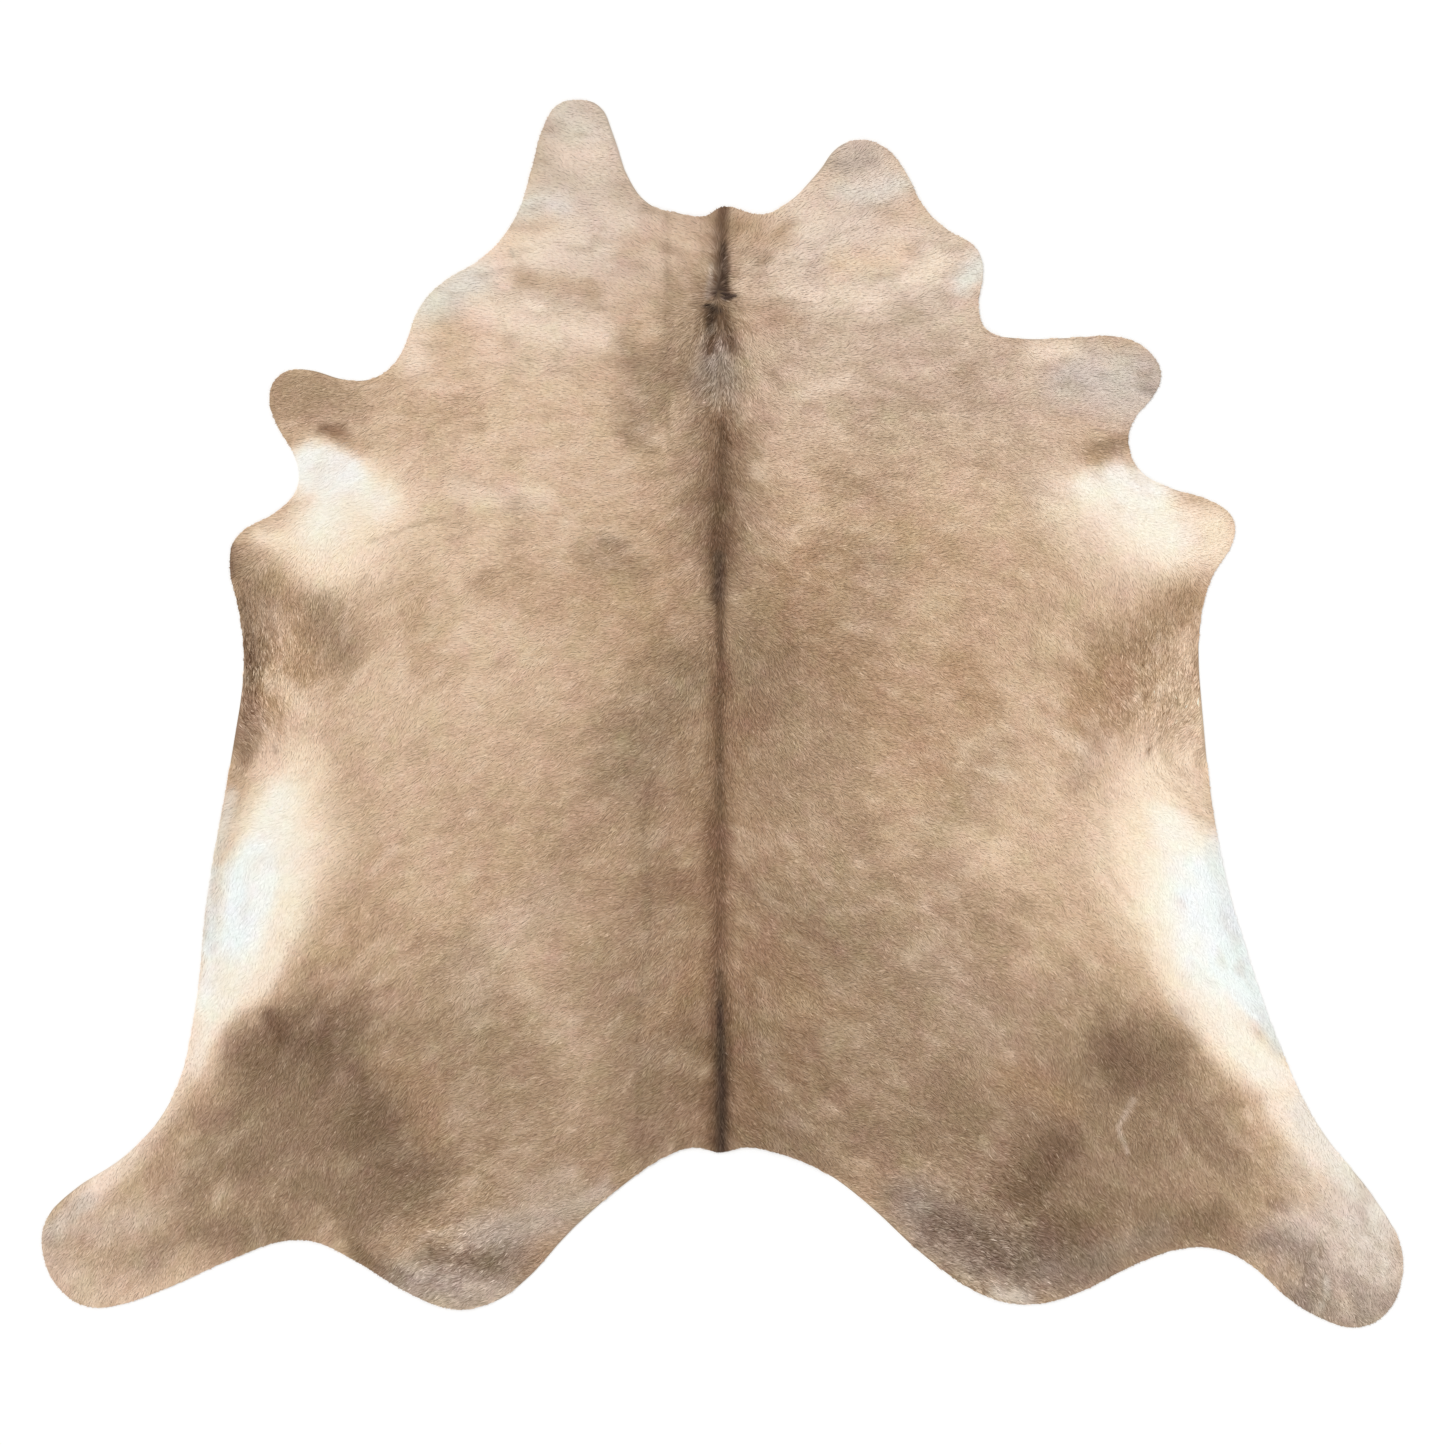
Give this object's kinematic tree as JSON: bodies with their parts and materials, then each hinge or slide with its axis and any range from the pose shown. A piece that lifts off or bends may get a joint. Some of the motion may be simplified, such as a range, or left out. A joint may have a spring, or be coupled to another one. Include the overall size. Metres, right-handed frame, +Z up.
{
  "type": "cowhide rug",
  "caption": "Whole hair-on cowhide laid flat as a rug, champagne tan with a dark spine stripe, pale flanks and darker hind legs.",
  "frame": {"origin": "on the floor under the middle of the hide's box", "axes": "+X across the hide to the picture's right, +Y up the back to the neck, +Z up out of the hair side"},
  "size_m": [2.3294, 2.0993, 0.0075],
  "materials": {
    "hair_on_hide": "short flat-lying hair on tanned cowhide, soft low sheen along the hair, suede underside"
  },
  "bodies": {
    "root": {"cowhide": "hair_on_hide"}
  },
  "joints": []
}
